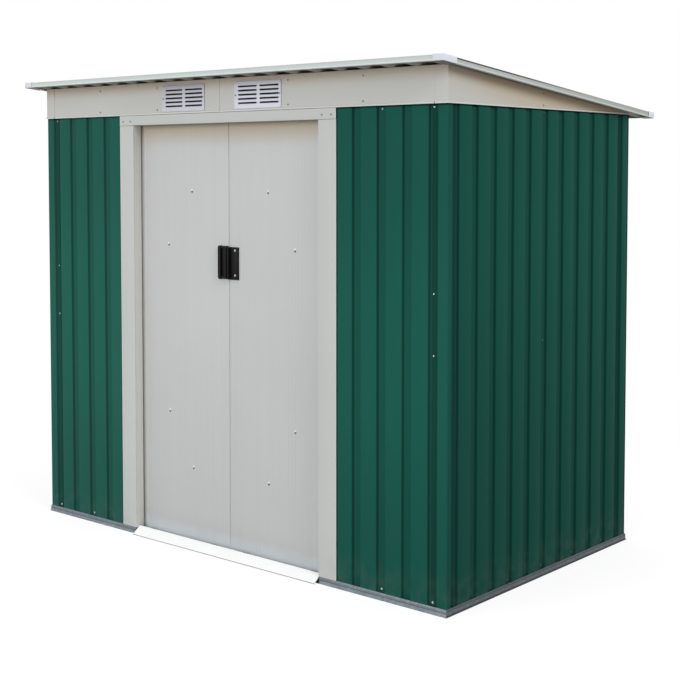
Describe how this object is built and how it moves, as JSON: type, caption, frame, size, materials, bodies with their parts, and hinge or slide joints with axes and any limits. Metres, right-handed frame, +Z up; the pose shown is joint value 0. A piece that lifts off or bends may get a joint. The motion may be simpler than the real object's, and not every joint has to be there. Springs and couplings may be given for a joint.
{
  "type": "metal storage shed",
  "caption": "Ribbed sheet-steel garden shed with a pent roof, a pair of sliding doors, louvred vents above them and a threshold ramp.",
  "frame": {"origin": "on the ground, under the middle of the roof's plan", "axes": "+X along the front to the right seen from outside, +Y from the doors to the back, +Z up; the doors face -Y"},
  "size_m": [2.0824, 1.3516, 1.7538],
  "materials": {
    "green_sheet": "semi-gloss dark green coated steel",
    "cream_sheet": "satin pale cream-grey coated steel",
    "door_sheet": "satin pale grey coated steel with fine upright lines",
    "galvanised": "dull galvanised steel",
    "roof_sheet": "semi-gloss dark green coated steel",
    "roof_trim": "satin pale grey-green coated steel",
    "white_plastic": "smooth white moulded plastic",
    "ramp": "white coated steel",
    "black_plastic": "satin black moulded plastic"
  },
  "bodies": {
    "shed": {"base_rail_front": "galvanised", "base_rail_back": "galvanised", "base_rail_left": "galvanised", "base_rail_right": "galvanised", "corner_sheet_front_left": "green_sheet", "corner_sheet_front_right": "green_sheet", "corner_sheet_back_left": "green_sheet", "corner_sheet_back_right": "green_sheet", "front_wall_left": "green_sheet", "front_wall_right": "green_sheet", "left_wall_front": "green_sheet", "left_wall_rear": "green_sheet", "right_wall_front": "green_sheet", "right_wall_rear": "green_sheet", "back_wall_left": "green_sheet", "back_wall_right": "green_sheet", "mid_rails": "galvanised", "top_rails": "galvanised", "door_track_top": "galvanised", "door_track_bottom": "galvanised", "door_header": "cream_sheet", "door_jamb_left": "cream_sheet", "door_jamb_right": "cream_sheet", "front_fascia_left": "cream_sheet", "front_fascia_right": "cream_sheet", "gable_left": "cream_sheet", "gable_right": "cream_sheet", "vent_left": "white_plastic", "vent_right": "white_plastic", "roof_beams": "galvanised", "roof_sheet_left": "roof_sheet", "roof_sheet_centre": "roof_sheet", "roof_sheet_right": "roof_sheet", "roof_trim_front": "roof_trim", "roof_trim_back": "roof_trim", "roof_trim_left": "roof_trim", "roof_trim_right": "roof_trim", "roof_corner_caps": "white_plastic", "threshold_ramp": "ramp"},
    "left_door": {"door_left": "door_sheet", "handle_left": "black_plastic", "door_runners_left": "black_plastic"},
    "right_door": {"door_right": "door_sheet", "handle_right": "black_plastic", "door_runners_right": "black_plastic"}
  },
  "joints": [
    {"name": "left_door_slide", "type": "slide", "parent": "shed", "child": "left_door", "axis": [-1, 0, 0], "range_m": [0, 0.41]},
    {"name": "right_door_slide", "type": "slide", "parent": "shed", "child": "right_door", "axis": [1, 0, 0], "range_m": [0, 0.41]}
  ]
}
